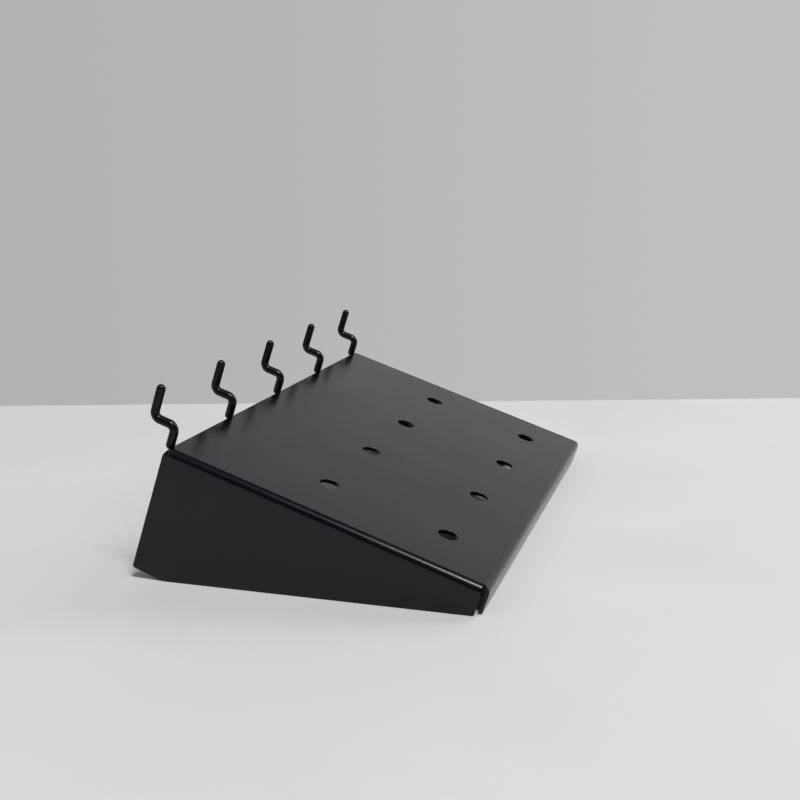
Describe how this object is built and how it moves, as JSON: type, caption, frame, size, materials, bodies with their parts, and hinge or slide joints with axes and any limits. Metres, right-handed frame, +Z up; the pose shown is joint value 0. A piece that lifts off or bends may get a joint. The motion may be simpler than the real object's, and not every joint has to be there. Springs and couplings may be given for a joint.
{
  "type": "pegboard shelf",
  "caption": "Black folded sheet shelf with round tool holes, tapered side flanges, a short front lip and bent wire hooks that hang it on a pegboard.",
  "frame": {"origin": "on the table plane, under the middle of the shelf's bounding box, as it rests on the sloping lower edges of its side flanges", "axes": "+Z up from the table, +X along the row of hooks and the pegboard, +Y from the front lip towards the hooks"},
  "size_m": [0.213, 0.1402, 0.0764],
  "materials": {
    "sheet_coat": "semi-gloss black powder coat with a fine orange peel",
    "wire_coat": "semi-gloss black powder coat on round wire",
    "weld_coat": "black powder coat over a rippled weld bead"
  },
  "bodies": {
    "root": {"shelf_tray": "sheet_coat", "peg_hook_1": "wire_coat", "peg_hook_2": "wire_coat", "peg_hook_3": "wire_coat", "peg_hook_4": "wire_coat", "peg_hook_5": "wire_coat", "weld_1": "weld_coat", "weld_2": "weld_coat", "weld_3": "weld_coat", "weld_4": "weld_coat", "weld_5": "weld_coat"}
  },
  "joints": []
}
